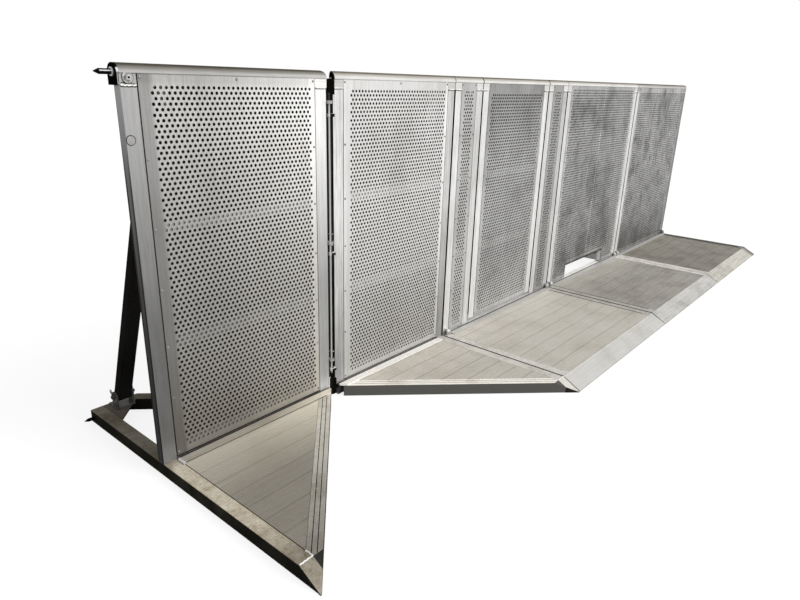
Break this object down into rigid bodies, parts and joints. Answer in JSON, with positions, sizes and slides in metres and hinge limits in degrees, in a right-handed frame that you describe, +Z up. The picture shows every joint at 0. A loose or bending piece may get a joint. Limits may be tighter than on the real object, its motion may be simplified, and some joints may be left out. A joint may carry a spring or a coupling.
{
  "type": "folding safety barrier",
  "caption": "Free-standing metal barrier row with perforated panels, rear braces and tread footplates; panels fold forward, a corner bay swings and a gate opens.",
  "frame": {"origin": "middle of the row's box, on the floor", "axes": "+X along the row from the swinging corner bay towards the plain bay, +Y to the rear where the braces stand, +Z up"},
  "size_m": [4.521, 1.191, 1.2],
  "materials": {
    "frame": "mill, streaked",
    "sheet": "perforated, brushed and worn",
    "base_tube": "scuffed and dirty",
    "tread": "ribbed, trodden",
    "brace_tube": "mill",
    "black_steel": "satin black"
  },
  "bodies": {
    "base": {"base_side_tubes": "base_tube", "base_cross_tubes": "base_tube", "bay_couplers": "black_steel", "brace_feet": "brace_tube", "foot_strips": "frame", "c_footplate": "tread", "d_footplate": "tread", "e_footplate": "tread", "b_diagonals": "base_tube", "b_footplate": "tread", "b_frame": "frame", "b_sheet": "sheet", "b_top_rail": "frame", "b_brace": "brace_tube", "hinge_rod": "black_steel"},
    "corner_a": {"a_side_tube": "base_tube", "a_foot_tube": "base_tube", "a_diagonals": "base_tube", "a_footplate": "tread", "a_foot_strip": "frame", "a_frame": "frame", "a_sheet": "sheet", "a_top_rail": "frame", "a_end_pins": "black_steel", "a_brace": "brace_tube", "a_brace_foot": "brace_tube", "a_hinge_lugs": "black_steel"},
    "panel_c": {"c_frame": "frame", "c_side_sheets": "sheet", "c_top_rails": "frame"},
    "gate": {"gate_frame": "frame", "gate_sheet": "sheet", "gate_top_rail": "frame"},
    "panel_d": {"d_frame": "frame", "d_sheet": "sheet", "d_top_rail": "frame"},
    "panel_e": {"e_frame": "frame", "e_sheet": "sheet", "e_top_rail": "frame"},
    "brace_c_left": {"c_brace_left": "brace_tube"},
    "brace_c_right": {"c_brace_right": "brace_tube"},
    "brace_d_left": {"d_brace_left": "brace_tube"},
    "brace_d_right": {"d_brace_right": "brace_tube"},
    "brace_e_left": {"e_brace_left": "brace_tube"},
    "brace_e_right": {"e_brace_right": "brace_tube"}
  },
  "joints": [
    {"name": "corner_swing", "type": "hinge", "parent": "base", "child": "corner_a", "pos_m": [-1.4965, 0.1075, 0], "axis": [0, 0, 1], "range_deg": [-45, 90]},
    {"name": "gate_swing", "type": "hinge", "parent": "panel_c", "child": "gate", "pos_m": [-0.5705, 0.1605, 0], "axis": [0, 0, 1], "range_deg": [0, 95]},
    {"name": "fold_c", "type": "hinge", "parent": "base", "child": "panel_c", "pos_m": [-0.2645, 0.0925, 0.062], "axis": [1, 0, 0], "range_deg": [0, 90]},
    {"name": "brace_c_left_swing", "type": "hinge", "parent": "panel_c", "child": "brace_c_left", "pos_m": [-0.6815, 0.1375, 1.09], "axis": [1, 0, 0], "range_deg": [-18, 0]},
    {"name": "brace_c_right_swing", "type": "hinge", "parent": "panel_c", "child": "brace_c_right", "pos_m": [0.1525, 0.1375, 1.09], "axis": [1, 0, 0], "range_deg": [-18, 0]},
    {"name": "fold_d", "type": "hinge", "parent": "base", "child": "panel_d", "pos_m": [0.7555, 0.0925, 0.062], "axis": [1, 0, 0], "range_deg": [0, 90]},
    {"name": "brace_d_left_swing", "type": "hinge", "parent": "panel_d", "child": "brace_d_left", "pos_m": [0.3535, 0.1375, 1.09], "axis": [1, 0, 0], "range_deg": [-18, 0]},
    {"name": "brace_d_right_swing", "type": "hinge", "parent": "panel_d", "child": "brace_d_right", "pos_m": [1.1575, 0.1375, 1.09], "axis": [1, 0, 0], "range_deg": [-18, 0]},
    {"name": "fold_e", "type": "hinge", "parent": "base", "child": "panel_e", "pos_m": [1.7605, 0.0925, 0.062], "axis": [1, 0, 0], "range_deg": [0, 90]},
    {"name": "brace_e_left_swing", "type": "hinge", "parent": "panel_e", "child": "brace_e_left", "pos_m": [1.3585, 0.1375, 1.09], "axis": [1, 0, 0], "range_deg": [-18, 0]},
    {"name": "brace_e_right_swing", "type": "hinge", "parent": "panel_e", "child": "brace_e_right", "pos_m": [2.1625, 0.1375, 1.09], "axis": [1, 0, 0], "range_deg": [-18, 0]}
  ],
  "couplings": [
    {"joint": "brace_c_left_swing", "follows": "fold_c", "ratio": -0.2},
    {"joint": "brace_c_right_swing", "follows": "fold_c", "ratio": -0.2},
    {"joint": "brace_d_left_swing", "follows": "fold_d", "ratio": -0.2},
    {"joint": "brace_d_right_swing", "follows": "fold_d", "ratio": -0.2},
    {"joint": "brace_e_left_swing", "follows": "fold_e", "ratio": -0.2},
    {"joint": "brace_e_right_swing", "follows": "fold_e", "ratio": -0.2}
  ]
}
